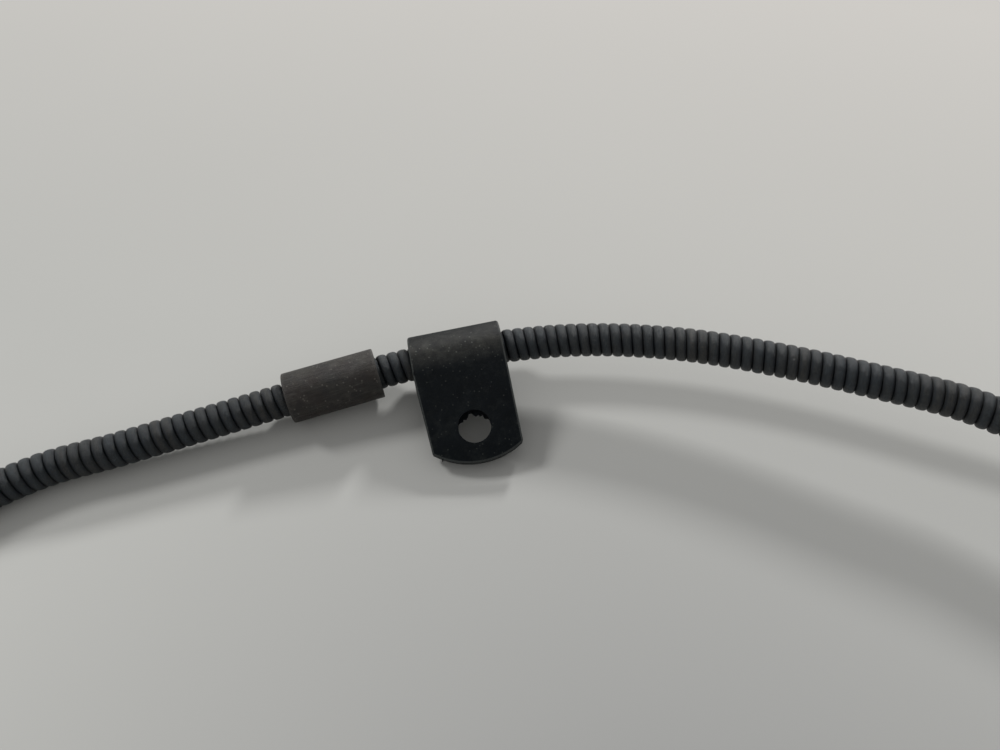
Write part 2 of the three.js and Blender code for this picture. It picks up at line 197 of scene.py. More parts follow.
def ringed(form, corners):
    """Edges from corner to corner and back to the first"""
    return [form.edges.new(pair) for pair in zip(corners, corners[1:] + corners[:1])]


def turned(profile, sides, edge, closed=True):
    """A piece turned about X, its edges broken. The profile of (along, radius) pairs closes, or ends on the axis"""
    form = bmesh.new()
    points = [form.verts.new((along, 0, radius)) for along, radius in profile]
    for pair in zip(points, points[1:] + points[:closed]):
        form.edges.new(pair)
    if edge:
        corners = [v for v in points if v.co.z > 0.01]
        bmesh.ops.bevel(form, geom=corners, offset=edge, segments=3, profile=0.5, affect="VERTICES",
                        clamp_overlap=True, material=-1)
    bmesh.ops.spin(form, geom=form.verts[:] + form.edges[:], cent=(0, 0, 0), axis=(1, 0, 0),
                   angle=math.tau, steps=sides, use_merge=True)
    bmesh.ops.remove_doubles(form, verts=form.verts[:], dist=0.002)
    bmesh.ops.recalc_face_normals(form, faces=form.faces[:])
    return form


def capped(form, edge=0.0):
    """A form with its open ends closed and its sharp edges broken"""
    bmesh.ops.holes_fill(form, edges=[e for e in form.edges if e.is_boundary], sides=0)
    bmesh.ops.recalc_face_normals(form, faces=form.faces[:])
    if edge:
        sharp = [e for e in form.edges if len(e.link_faces) == 2 and e.calc_face_angle() > math.radians(50)]
        bmesh.ops.bevel(form, geom=sharp, offset=edge, segments=2, profile=0.5, affect="EDGES",
                        clamp_overlap=True, material=-1)
    return form


def swept(outline, start, angle, steps, advance=0.0, edge=0.0):
    """A closed outline of (along, radius) pairs swept round X from a start angle, in degrees"""
    form = bmesh.new()
    turn = Matrix.Rotation(math.radians(start - 90), 3, "X")
    ringed(form, [form.verts.new(turn @ Vector((along, 0, radius))) for along, radius in outline])
    bmesh.ops.spin(form, geom=form.verts[:] + form.edges[:], cent=(0, 0, 0), axis=(1, 0, 0),
                   dvec=(advance / steps, 0, 0), angle=math.radians(angle), steps=steps, use_merge=False)
    return capped(form, edge)


def joined(*forms):
    """Several forms as one"""
    whole = bmesh.new()
    for form in forms:
        whole.from_mesh(mesh_of(form))
    return whole


# Materials

def new_material(name):
    """A material with only its shader, its node tree and that shader"""
    material = bpy.data.materials.new(name)
    material.use_nodes = True
    nodes = material.node_tree.nodes
    nodes.clear()
    out = nodes.new("ShaderNodeOutputMaterial")
    shader = nodes.new("ShaderNodeBsdfPrincipled")
    material.node_tree.links.new(shader.outputs[0], out.inputs[0])
    return material, material.node_tree, shader


def node(tree, kind, settings=None, **sockets):
    """A node with its settings and its inputs, by name or as i0, i1: values or other nodes' outputs"""
    made = tree.nodes.new(kind)
    for key, value in (settings or {}).items():
        setattr(made, key, value)
    for key, value in sockets.items():
        numbered = key[0] == "i" and key[1:].isdigit()
        socket = made.inputs[int(key[1:]) if numbered else key.replace("_", " ")]
        if isinstance(value, bpy.types.NodeSocket):
            tree.links.new(value, socket)
        else:
            socket.default_value = value
    return made


def group(name, inputs, outputs):
    """An empty node group with its sockets: (name, kind, default) inputs and (name, kind) outputs"""
    tree = bpy.data.node_groups.new(name, "ShaderNodeTree")
    for label, kind, value in inputs:
        socket = tree.interface.new_socket(name=label, in_out="INPUT", socket_type=kind)
        socket.default_value = value
    for label, kind in outputs:
        tree.interface.new_socket(name=label, in_out="OUTPUT", socket_type=kind)
    return tree, tree.nodes.new("NodeGroupInput"), tree.nodes.new("NodeGroupOutput")


def ramp(tree, value, low, high, start=0.0, end=1.0):
    """A value spread from low..high to start..end, held at both ends"""
    return node(tree, "ShaderNodeMapRange", {"clamp": True}, Value=value, From_Min=low, From_Max=high,
                To_Min=start, To_Max=end).outputs[0]


def math_of(tree, operation, a, b=0.0):
    """One sum on a value or two"""
    return node(tree, "ShaderNodeMath", {"operation": operation}, i0=a, i1=b).outputs[0]


def times(tree, a, b):
    return math_of(tree, "MULTIPLY", a, b)


def mixed(tree, share, a, b):
    """Colour a where the share is 0 and colour b where it is 1"""
    return node(tree, "ShaderNodeMix", {"data_type": "RGBA"}, i0=share, i6=a, i7=b).outputs[2]


def colour(r, g, b):
    """A colour written as it looks on a screen, 0 to 255, in the shader's own scale"""
    shares = [c / 255 for c in (r, g, b)]
    return tuple(c / 12.92 if c <= 10 / 255 else ((c + 0.055) / 1.055) ** 2.4 for c in shares) + (1.0,)


def make_mottle():
    """Soft patches, and a grain fourteen times finer"""
    tree, given, out = group("mottle", [
        ("Vector", "NodeSocketVector", (0, 0, 0)), ("Scale", "NodeSocketFloat", 100.0),
        ("Sharpness", "NodeSocketFloat", 0.15),
    ], [("Patches", "NodeSocketFloat"), ("Grain", "NodeSocketFloat")])
    broad = node(tree, "ShaderNodeTexNoise", Vector=given.outputs[0], Scale=given.outputs[1], Detail=5.0,
                 Roughness=0.6, Distortion=0.6)
    low = math_of(tree, "SUBTRACT", 0.5, given.outputs[2])
    high = math_of(tree, "ADD", 0.5, given.outputs[2])
    patches = node(tree, "ShaderNodeMapRange", {"clamp": True, "interpolation_type": "SMOOTHSTEP"},
                   Value=broad.outputs[0], From_Min=low, From_Max=high).outputs[0]
    tree.links.new(patches, out.inputs[0])
    fine_scale = times(tree, given.outputs[1], 14.0)
    fine = node(tree, "ShaderNodeTexNoise", Vector=given.outputs[0], Scale=fine_scale, Detail=4.0, Roughness=0.7)
    tree.links.new(fine.outputs[0], out.inputs[1])
    return tree


def make_dust():
    """Fine specks, some of them left out, and a thin broken film"""
    tree, given, out = group("dust", [
        ("Vector", "NodeSocketVector", (0, 0, 0)), ("Speck Scale", "NodeSocketFloat", 1500.0),
        ("Speck Share", "NodeSocketFloat", 0.2), ("Cover", "NodeSocketFloat", 0.5),
    ], [("Mask", "NodeSocketFloat")])
    grit = node(tree, "ShaderNodeTexVoronoi", {"feature": "F1"}, Vector=given.outputs[0], Scale=given.outputs[1])
    chosen = node(tree, "ShaderNodeTexNoise", Vector=grit.outputs["Position"], Scale=7000.0, Detail=0.0)
    picked = math_of(tree, "GREATER_THAN", given.outputs[2],
                     ramp(tree, chosen.outputs[0], 0.25, 0.75))
    dot = ramp(tree, grit.outputs[0], 0.25, 0.42, 1.0, 0.0)
    specks = times(tree, picked, dot)
    haze = node(tree, "ShaderNodeTexNoise", Vector=given.outputs[0], Scale=320.0, Detail=6.0, Roughness=0.75)
    film = times(tree, ramp(tree, haze.outputs[0], 0.5, 0.78), given.outputs[3])
    tree.links.new(math_of(tree, "MAXIMUM", specks, film), out.inputs[0])
    return tree


MOTTLE = make_mottle()
DUST = make_dust()


def placed(tree, shared, **sockets):
    """A shared effect, placed in a material"""
    return node(tree, "ShaderNodeGroup", {"node_tree": shared}, **sockets)


def here(tree):
    """The place on the piece, in metres"""
    return node(tree, "ShaderNodeTexCoord").outputs["Object"]


def marked(tree, name, kind="Fac"):
    """A value or vector that the mesh carries"""
    return node(tree, "ShaderNodeAttribute", {"attribute_name": name}).outputs[kind]


def bumped(tree, shader, height, distance, strength):
    bump = node(tree, "ShaderNodeBump", Height=height, Distance=distance, Strength=strength)
    tree.links.new(bump.outputs[0], shader.inputs["Normal"])


def painted_wire():
    """Blue-black paint, rubbed along the crown of each turn and painted pale there as a highlight too, with brown
    dirt between the turns in places
    """
    material, tree, shader = new_material("painted_wire")
    crown = marked(tree, "crown")
    run = marked(tree, "run")
    spot = here(tree)
    mottle = placed(tree, MOTTLE, Vector=spot, Scale=420.0, Sharpness=0.18)
    lengths = node(tree, "ShaderNodeTexNoise", {"noise_dimensions": "1D"}, W=run, Scale=0.05, Detail=4.0,
                   Roughness=0.65)
    brownish = ramp(tree, lengths.outputs[0], 0.44, 0.64)
    paint = mixed(tree, mottle.outputs["Patches"], colour(7, 14, 20), colour(17, 25, 32))
    # The pale crown colour is partly rubbed paint and partly a painted highlight along each turn
    worn = mixed(tree, brownish, colour(72, 82, 87), colour(86, 82, 72))
    scuff_and_sheen = times(tree, ramp(tree, crown, 0.8, 1.0), ramp(tree, mottle.outputs["Grain"], 0.48, 0.62))
    surface = mixed(tree, times(tree, scuff_and_sheen, 0.75), paint, worn)
    dust = placed(tree, DUST, Vector=spot, Speck_Scale=1900.0, Speck_Share=0.3, Cover=0.7)
    valley = times(tree, ramp(tree, crown, 0.1, 0.75, 0.6, 0.0), brownish)
    surface = mixed(tree, math_of(tree, "MAXIMUM", times(tree, dust.outputs[0], 0.5), valley),
                    surface, colour(62, 60, 53))
    tree.links.new(surface, shader.inputs["Base Color"])
    tree.links.new(ramp(tree, mottle.outputs["Grain"], 0.35, 0.65, 0.3, 0.55), shader.inputs["Roughness"])
    shader.inputs["Specular IOR Level"].default_value = 0.42
    bumped(tree, shader, mottle.outputs["Grain"], 0.00025, 0.8)
    return material


def clip_paint():
    """Blue-black paint, rubbed brown on the crest and pale on the rolled edges, with dust specks"""
    material, tree, shader = new_material("clip_steel")
    spot = here(tree)
    rub = marked(tree, "rub")
    rim = marked(tree, "rim")
    mottle = placed(tree, MOTTLE, Vector=spot, Scale=330.0, Sharpness=0.2)
    paint = mixed(tree, mottle.outputs["Patches"], colour(3, 8, 12), colour(9, 15, 19))
    brown = mixed(tree, mottle.outputs["Patches"], colour(20, 20, 18), colour(58, 57, 51))
    rubbed = times(tree, ramp(tree, rub, 0.1, 0.9), ramp(tree, mottle.outputs["Grain"], 0.36, 0.6, 0.3, 1.0))
    surface = mixed(tree, rubbed, paint, brown)
    edge = times(tree, rim, ramp(tree, mottle.outputs["Grain"], 0.42, 0.6, 0.25, 0.9))
    surface = mixed(tree, edge, surface, colour(62, 66, 64))
    dust = placed(tree, DUST, Vector=spot, Speck_Scale=1900.0, Speck_Share=0.1, Cover=0.45)
    surface = mixed(tree, times(tree, dust.outputs[0], ramp(tree, rub, 0.0, 1.0, 0.2, 0.7)),
                    surface, colour(100, 102, 96))
    tree.links.new(surface, shader.inputs["Base Color"])
    tree.links.new(ramp(tree, mottle.outputs["Grain"], 0.3, 0.7, 0.45, 0.65), shader.inputs["Roughness"])
    tree.links.new(ramp(tree, math_of(tree, "MAXIMUM", rub, rim), 0.0, 1.0, 0.1, 0.4),
                   shader.inputs["Specular IOR Level"])
    bumped(tree, shader, mottle.outputs["Grain"], 0.0002, 0.6)
    return material


def sleeve_steel():
    """Dull steel that was drawn lengthwise: patches, streaks along it and bright worn ends"""
    material, tree, shader = new_material("sleeve_steel")
    spot = here(tree)
    along = marked(tree, "along", "Vector")
    mottle = placed(tree, MOTTLE, Vector=spot, Scale=260.0, Sharpness=0.17)
    elsewhere = node(tree, "ShaderNodeMapping", Vector=spot, Location=(0.3, 0.7, 0.1)).outputs[0]
    second = placed(tree, MOTTLE, Vector=elsewhere, Scale=130.0, Sharpness=0.2)
    grey = mixed(tree, mottle.outputs["Patches"], colour(25, 25, 24), colour(60, 58, 54))
    surface = mixed(tree, times(tree, second.outputs["Patches"], 0.7), grey, colour(44, 36, 33))
    drawn_out = node(tree, "ShaderNodeMapping", Vector=along, Scale=(0.12, 1.0, 1.0)).outputs[0]
    streaks = node(tree, "ShaderNodeTexNoise", Vector=drawn_out, Scale=2.4, Detail=4.0, Roughness=0.7)
    surface = mixed(tree, ramp(tree, streaks.outputs[0], 0.54, 0.72, 0.0, 0.7), surface, colour(74, 73, 69))
    surface = mixed(tree, ramp(tree, streaks.outputs[0], 0.46, 0.3, 0.0, 0.75), surface, colour(22, 22, 22))
    place = node(tree, "ShaderNodeSeparateXYZ", Vector=along).outputs[0]
    ends = ramp(tree, math_of(tree, "ABSOLUTE", place), 10.3, 11.1, 0.0, 0.6)
    surface = mixed(tree, times(tree, ends, ramp(tree, mottle.outputs["Grain"], 0.4, 0.6)), surface,
                    colour(96, 94, 90))
    dust = placed(tree, DUST, Vector=spot, Speck_Scale=1700.0, Speck_Share=0.16, Cover=0.5)
    surface = mixed(tree, times(tree, dust.outputs[0], 0.5), surface, colour(116, 112, 106))
    tree.links.new(surface, shader.inputs["Base Color"])
    tree.links.new(ramp(tree, mottle.outputs["Patches"], 0.0, 1.0, 0.15, 0.5), shader.inputs["Metallic"])
    tree.links.new(ramp(tree, mottle.outputs["Grain"], 0.3, 0.7, 0.42, 0.66), shader.inputs["Roughness"])
    bumped(tree, shader, math_of(tree, "ADD", mottle.outputs["Grain"], streaks.outputs[0]), 0.00022, 0.7)
    return material


def bare_metal(name, light, dark, rough_low, rough_high, metal=0.9, rings=True):
    """Bare or plated steel: mottled, with fine turning marks round X where it is turned"""
    material, tree, shader = new_material(name)
    spot = here(tree)
    mottle = placed(tree, MOTTLE, Vector=spot, Scale=300.0, Sharpness=0.22)
    surface = mixed(tree, mottle.outputs["Patches"], dark, light)
    dust = placed(tree, DUST, Vector=spot, Speck_Scale=1500.0, Speck_Share=0.12, Cover=0.3)
    surface = mixed(tree, times(tree, dust.outputs[0], 0.35), surface, colour(120, 116, 106))
    tree.links.new(surface, shader.inputs["Base Color"])
    shader.inputs["Metallic"].default_value = metal
    tree.links.new(ramp(tree, mottle.outputs["Grain"], 0.3, 0.7, rough_low, rough_high), shader.inputs["Roughness"])
    height = mottle.outputs["Grain"]
    if rings:
        round_x = node(tree, "ShaderNodeMapping", Vector=spot, Scale=(1.0, 0.03, 0.03)).outputs[0]
        lathe = node(tree, "ShaderNodeTexNoise", Vector=round_x, Scale=5200.0, Detail=2.0)
        height = math_of(tree, "ADD", times(tree, height, 0.5), lathe.outputs[0])
    bumped(tree, shader, height, 0.00006, 0.5)
    return material


def rubber():
    """Dull black rubber with dust on it"""
    material, tree, shader = new_material("black_rubber")
    spot = here(tree)
    mottle = placed(tree, MOTTLE, Vector=spot, Scale=260.0, Sharpness=0.25)
    surface = mixed(tree, mottle.outputs["Patches"], colour(22, 22, 22), colour(34, 34, 33))
    dust = placed(tree, DUST, Vector=spot, Speck_Scale=1500.0, Speck_Share=0.2, Cover=0.6)
    surface = mixed(tree, times(tree, dust.outputs[0], 0.3), surface, colour(96, 94, 88))
    tree.links.new(surface, shader.inputs["Base Color"])
    tree.links.new(ramp(tree, mottle.outputs["Grain"], 0.3, 0.7, 0.7, 0.9), shader.inputs["Roughness"])
    bumped(tree, shader, mottle.outputs["Grain"], 0.0001, 0.5)
    return material


PAINT = painted_wire()
CLIP_PAINT = clip_paint()
SLEEVE = sleeve_steel()
STRAND = bare_metal("strand_steel", colour(150, 151, 152), colour(104, 103, 100), 0.3, 0.45, rings=False)
FITTING = bare_metal("fitting_steel", colour(128, 124, 116), colour(84, 81, 75), 0.4, 0.58)
PLATED = bare_metal("plated_steel", colour(168, 160, 140), colour(122, 116, 102), 0.32, 0.48)
SPRING = bare_metal("spring_steel", colour(62, 64, 66), colour(36, 38, 40), 0.34, 0.5, metal=0.7, rings=False)
RUBBER = rubber()


# Conduit: one turn of the wire is spun, repeated along X, and laid along the centre line

def wire_section(half):
    """One turn of the wire across its crown, flat on the inside, as (along, radius) pairs"""
    outline = []
    for k in range(9):
        angle = math.pi * k / 8
        across, rise = math.cos(angle), math.sin(angle) ** 0.75
        outline.append((half * math.copysign(abs(across) ** 0.85, across),
                        WINDING_RADIUS - WIRE_CROWN * (1 - rise)))
    return outline + [(-0.85 * half, CONDUIT_BORE), (0.85 * half, CONDUIT_BORE)]


def straight_conduit():
    """The winding before it is laid: one turn, repeated, with the length and the crown kept on its points"""
    turns = round(conduit_length / WIRE_PITCH)
    pitch = conduit_length / turns
    steps = 24
    section = bmesh.new()
    ringed(section, [section.verts.new((along, 0, radius)) for along, radius in wire_section(0.498 * pitch)])
    bmesh.ops.spin(section, geom=section.verts[:] + section.edges[:], cent=(0, 0, 0), axis=(1, 0, 0),
                   dvec=(pitch / steps, 0, 0), angle=math.tau, steps=steps, use_merge=False)
    bmesh.ops.recalc_face_normals(section, faces=section.faces[:])
    winding = bmesh.new()
    winding.from_mesh(shaped(
        mesh_of(section), "ARRAY", fit_type="FIXED_COUNT", count=turns, use_relative_offset=False,
        use_constant_offset=True, constant_offset_displace=(pitch, 0, 0), use_merge_vertices=True,
        merge_threshold=0.01))
    straight = mesh_of(capped(winding))
    places = np.empty(3 * len(straight.vertices))
    straight.vertices.foreach_get("co", places)
    places = places.reshape(-1, 3)
    depth = WINDING_RADIUS - np.hypot(places[:, 1], places[:, 2])
    kept = {"run": places[:, 0], "crown": np.clip(1 - depth / WIRE_CROWN, 0, 1)}
    for name, values in kept.items():
        straight.attributes.new(name, "FLOAT", "POINT").data.foreach_set("value", values)
    return straight


def wound_conduit():
    """The winding, bent along the centre line"""
    guide = bpy.data.curves.new("guide", "CURVE")
    guide.dimensions = "3D"
    guide.twist_mode = "MINIMUM"
    line = guide.splines.new("POLY")
    line.points.add(len(route) - 1)
    line.points.foreach_set("co", np.c_[route, np.ones(len(route))].ravel())
    rail = bpy.data.objects.new("guide", guide)
    bpy.context.scene.collection.objects.link(rail)
    laid = shaped(straight_conduit(), "CURVE", object=rail, deform_axis="POS_X")
    bpy.data.objects.remove(rail)
    laid.transform(TO_METRES)
    return dressed("conduit_winding", laid, "casing", PAINT, "conduit")


conduit = wound_conduit()


# Crimped sleeve

def crimped_sleeve():
    """A plain tube with its edges broken; each point keeps its place on the straight tube for the finish"""
    half, inner = SLEEVE_LENGTH / 2, WINDING_RADIUS + 0.06
    form = turned([(-half, inner), (-half, SLEEVE_RADIUS), (half, SLEEVE_RADIUS), (half, inner)], 72, 0.3)
    along = form.verts.layers.float_vector.new("along")
    for vert in form.verts:
        vert[along] = vert.co
    return finished("crimp_sleeve_shell", form, station(SLEEVE_STATION), "casing", SLEEVE,
                    "crimp_sleeve")


crimped_sleeve()


# Support clip: the flat blank is cut, then folded round the conduit.

# The leaves: how far they reach, how they sit askew, their rounded ends and their holes
LEAF_REACH = 27.96
LEAF_TURN = 0.024
LEAF_TURNED_ABOUT = 8.5
LEAF_ASIDE = 0.1
TIP_RADIUS = 18.37
TIP_MIDDLE = -1.08
HALF_WIDTH = 11.3
HALF_TIP_WIDTH = 10.6
HOLE_RADIUS = 3.9
HOLE_PLACE = (-0.3, 19.4)
# The torn part of the back leaf's rim: angles in degrees, and how far the burr stands into the hole
TORN_RIM = [
    (205, 0.1), (210, 0.55), (216, 0.7), (222, 0.45), (228, 0.3), (233, 0.75), (237, 0.9), (242, 0.6),
    (246, 0.7), (251, 1.0), (255, 1.1), (260, 0.9), (266, 0.75), (270, 0.35), (274, 0.2), (281, 0.15),
    (286, 0.5), (291, 0.8), (297, 0.9), (303, 1.05), (307, 0.8), (312, 0.5), (317, 0.7), (321, 0.75),
    (327, 0.35), (333, 0.1),
]
CLEAN_RIM = [(-20 + 220 * k / 25, 0) for k in range(26)]


def leaf(x, y):
    """A point of either leaf, turned a little in its own plane, as the leaves sit askew below the loop"""
    return x - LEAF_TURN * (y - LEAF_TURNED_ABOUT) - LEAF_ASIDE, y + LEAF_TURN * x


def leaf_tip():
    """The rounded end of a leaf, from its left corner to its right one"""
    across = [HALF_TIP_WIDTH - 2 * HALF_TIP_WIDTH * k / 30 for k in range(31)]
    return [leaf(x, LEAF_REACH - TIP_RADIUS + math.sqrt(TIP_RADIUS ** 2 - (x - TIP_MIDDLE) ** 2)) for x in across]


def folded_sheet():
    """The middle of the sheet, without thickness: a flat blank with its two holes, folded round the conduit"""
    mid_loop = LOOP_INSIDE + SHEET / 2
    back_level = LOOP_INSIDE - SEAT_GAP - SHEET / 2
    fold_height = back_level - FOLD_RADIUS
    fold_distance = mid_loop + FOLD_RADIUS
    fold_start = math.sqrt(fold_distance ** 2 - fold_height ** 2)
    meeting = math.atan2(fold_height, fold_start)
    loop_angle = 1.5 * math.pi + meeting
    fold_angle = math.pi / 2 + meeting
    loop_run = mid_loop * loop_angle
    fold_run = FOLD_RADIUS * fold_angle
    back_start = loop_run + fold_run

    def folded(x, v):
        """Where a point of the flat blank goes; v runs from the loop's start, negative along the front leaf"""
        if v <= 0:
            return Vector((x, -v, mid_loop))
        if v <= loop_run:
            angle = math.pi / 2 + v / mid_loop
            return Vector((x, mid_loop * math.cos(angle), mid_loop * math.sin(angle)))
        if v <= loop_run + fold_run:
            angle = math.pi + meeting - (v - loop_run) / FOLD_RADIUS
            return Vector((x, fold_start + FOLD_RADIUS * math.cos(angle),
                           fold_height + FOLD_RADIUS * math.sin(angle)))
        return Vector((x, fold_start + v - back_start, back_level))

    tip = leaf_tip()
    outline = [(x, -y) for x, y in tip] + [(-HALF_WIDTH, -LOOP_INSIDE), (-HALF_WIDTH, back_start + 1)]
    outline += [(x, back_start + y - fold_start) for x, y in reversed(tip)]
    outline += [(HALF_WIDTH, back_start + 1), (HALF_WIDTH, -LOOP_INSIDE)]
    blank = bmesh.new()
    edges = ringed(blank, [blank.verts.new((x, v, 0)) for x, v in outline])
    hole_x, hole_y = leaf(*HOLE_PLACE)
    front_hole, back_hole = -hole_y, back_start + hole_y - fold_start
    for middle, rim, side in ((front_hole, CLEAN_RIM + [(angle, 0) for angle, _ in TORN_RIM], -1),
                              (back_hole, CLEAN_RIM + TORN_RIM, 1)):
        ring = []
        for angle, burr in rim:
            radius, turn = HOLE_RADIUS - burr, math.radians(angle)
            ring.append(blank.verts.new((hole_x + radius * math.cos(turn),
                                         middle + side * radius * math.sin(turn), 0)))
        edges += ringed(blank, ring)
    bmesh.ops.triangle_fill(blank, edges=edges, use_beauty=True, use_dissolve=False, normal=(0, 0, 1))
    # Lines across for the bends and for the rubbed crest
    cuts = [loop_run * k / 40 for k in range(41)] + [loop_run + fold_run * k / 12 for k in range(1, 13)]
    for v in cuts + [-0.8, -1.8, -3, -4.5, back_start + 1]:
        bmesh.ops.bisect_plane(blank, geom=blank.verts[:] + blank.edges[:] + blank.faces[:],
                               plane_co=(0, v, 0), plane_no=(0, 1, 0), dist=1e-4)
    rub = blank.verts.layers.float.new("rub")
    outer = blank.verts.layers.float.new("outer")
    for vert in blank.verts:
        x, v = vert.co.x, vert.co.y
        vert[rub] = max(0.0, min(1.0, 1 - abs(v - 1.2) / 5.5))
        from_hole = math.hypot(x - hole_x, v - (front_hole if v < 0 else back_hole))
        vert[outer] = 1.0 if vert.is_boundary and from_hole > HOLE_RADIUS + 0.3 else 0.0
        vert.co = folded(x, v)
    bmesh.ops.recalc_face_normals(blank, faces=blank.faces[:])
    return mesh_of(blank)


def support_clip():
    """The folded sheet with its thickness, its outer edges rolled over, and one burr left on the tip"""
    form = bmesh.new()
    form.from_mesh(shaped(folded_sheet(), "SOLIDIFY", thickness=SHEET, offset=0.0, use_even_offset=True))
    outer = form.verts.layers.float["outer"]
    rolled = [e for e in form.edges if all(v[outer] > 0.5 for v in e.verts) and len(e.link_faces) == 2
              and e.calc_face_angle() > math.radians(50)]
    made = bmesh.ops.bevel(form, geom=rolled, offset=0.5, segments=4, profile=0.5, affect="EDGES",
                           clamp_overlap=False, material=-1)
    rim = form.verts.layers.float.new("rim")
    rolled_faces = set(made["faces"])
    for face in rolled_faces:
        for vert in face.verts:
            if all(linked in rolled_faces for linked in vert.link_faces):
                vert[rim] = 1.0
    burr = Matrix.Translation((8.1, 25.6, 5.4)) @ turned_towards(Vector((0, 0, 1)), Vector((0.25, 1, 0)))
    bmesh.ops.create_cone(form, cap_ends=True, segments=8, radius1=0.25, radius2=0.08, depth=1.0, matrix=burr)
    return finished("support_clip_sheet", form, CLIP_PLACE, "clip", CLIP_PAINT, "support_clip")


support_clip()


# End fittings: each is shaped with X running outward from the end of the conduit

def ferrule(outside):
    """A turned ferrule with two crimp rings behind the conduit's end and its own outside in front"""
    crimped = [(-18, SOCKET_RADIUS), (-18, FERRULE_RADIUS)]
    for ring in (-12.6, -7.2):
        crimped += [(ring - 0.9, FERRULE_RADIUS), (ring - 0.45, 5.95), (ring, 5.88), (ring + 0.45, 5.95),
                    (ring + 0.9, FERRULE_RADIUS)]
    mouth, bore = outside[-1][0], 2.2
    pocket = mouth - 4
    inside = [(mouth, POCKET_RADIUS), (pocket, POCKET_RADIUS), (pocket, bore), (SEAT_GAP, bore),
              (SEAT_GAP, SOCKET_RADIUS)]
    return turned(crimped + outside + inside, 80, 0.2)


def bush(start):
    """A rubber bush round the strand, with a lip at the ferrule's mouth"""
    seat, lip = start + 4, start + 4.7
    return turned([(start, SLIDING_BORE), (start, SEAL_RADIUS), (seat, SEAL_RADIUS), (seat, POCKET_RADIUS),
                   (lip, POCKET_RADIUS - 0.1), (lip, SLIDING_BORE)], 48, 0.15)


def laid_strand(start, end):
    """Twelve thin wires laid round a core"""
    length, wires, fine, lay = end - start, 12, 0.33, 21.0
    form = bmesh.new()
    for wire in range(wires):
        outward = Matrix.Rotation(math.tau * wire / wires, 3, "X") @ Vector((0, 0, 1))
        side = X_AXIS.cross(outward) * 1.04
        middle = X_AXIS * start + outward * (STRAND_RADIUS - fine)
        ringed(form, [form.verts.new(middle + (outward * math.cos(turn) + side * math.sin(turn)) * fine)
                      for turn in (math.tau * k / 8 for k in range(8))])
    steps = round(length * 1.2)
    bmesh.ops.spin(form, geom=form.verts[:] + form.edges[:], cent=(0, 0, 0), axis=(1, 0, 0),
                   dvec=(length / steps, 0, 0), angle=math.tau * length / lay, steps=steps, use_merge=False)
    core = turned([(start, 0), (start, 1.1), (end, 1.1), (end, 0)], 16, 0, closed=False)
    return joined(capped(form), core)


def trimmed(form, limit):
    """A form whose points are brought in to a limit, which is a radius found from the point's place"""
    for vert in form.verts:
        radius, most = math.hypot(vert.co.y, vert.co.z), limit(vert.co)
        if radius > most:
            vert.co.y *= most / radius
            vert.co.z *= most / radius
    return form


def stud():
    """Swaged socket, its grip rings, and a rod with a helical thread that runs out at both ends"""
    start, swage_end, end = 30, 49.4, 80
    outer, ring_floor, root, pitch, turns = 3.75, 3.58, 2.62, 1.0, 28.6
    grips = [(start, outer)]
    for ring in (34, 38, 42):
        grips += [(ring, outer), (ring + 0.3, ring_floor), (ring + 1.7, ring_floor), (ring + 2, outer)]
    socket = [(49.5, 0), (49.5, SLIDING_BORE), (start, SLIDING_BORE)]
    rod = [(swage_end, outer), (50.6, root), (end - 0.5, root), (end, root - 0.5), (end, 0)]
    body = turned(socket + grips + rod, 48, 0.12, closed=False)
    first, foot = 51.0, root - 0.1
    ridge = swept([(first - 0.45, foot), (first - 0.07, THREAD_RADIUS), (first + 0.07, THREAD_RADIUS),
                   (first + 0.45, foot)], 0, 360 * turns, round(30 * turns), pitch * turns)
    runout = trimmed(ridge, lambda place: min(THREAD_RADIUS, THREAD_RADIUS - (place.x - 79.3),
                                              foot + (place.x - 50.4) * 0.9))
    return joined(body, runout)


def nut(start, end):
    """A chamfered hexagon nut, turned first and then cut to its six flats"""
    half_flats, lead = 5.5, 0.35
    corner = half_flats / math.cos(math.pi / 6)
    face = [(0, NUT_BORE + lead), (0, 5.15), (0.22, 5.5), (0.38, 5.78), (0.54, 6.06), (0.7, corner)]
    outside = [(start + along, radius) for along, radius in face]
    outside += [(end - along, radius) for along, radius in reversed(face)]
    form = turned(outside + [(end - lead, NUT_BORE), (start + lead, NUT_BORE)], 96, 0)
    return trimmed(form, lambda place: half_flats / math.cos(
        math.atan2(place.z, place.y) % (math.pi / 3) - math.pi / 6))


def fingers():
    """A sheet collar and the three spring fingers that flare back from it"""
    collar = turned([(25.5, 5.3), (25.5, 6.2), (28.9, 6.2), (28.9, 5.3)], 72, 0.2)
    finger = [(26.6, 5.4), (26.6, 6.12), (25.4, 6.25), (23.6, 6.98), (21.4, 8.05), (20.0, 8.75), (20.0, 7.95),
              (21.6, 7.2), (23.6, 6.25), (25.4, 5.45)]
    return joined(collar, *(swept(finger, middle - 23, 46, 12, edge=0.12) for middle in (-30, 90, 210)))


def coil_spring():
    """Round wire with a closed turn at each end"""
    start, end, wire, mean = 31.3, 57.3, 0.7, 5.0
    form = bmesh.new()
    wire_start = Matrix.Translation((start + wire, 0, mean)) @ Matrix.Rotation(math.pi / 2, 4, "X")
    bmesh.ops.create_circle(form, segments=14, radius=wire, matrix=wire_start)
    ring = form.verts[:] + form.edges[:]
    closed = 1.45
    for turns, advance in ((1, closed), (5, end - start - 2 * wire - 2 * closed), (1, closed)):
        steps = turns * 40
        made = bmesh.ops.spin(form, geom=ring, cent=(0, 0, 0), axis=(1, 0, 0), dvec=(advance / steps, 0, 0),
                              angle=math.tau * turns, steps=steps, use_merge=False)
        ring = made["geom_last"]
    return capped(form)


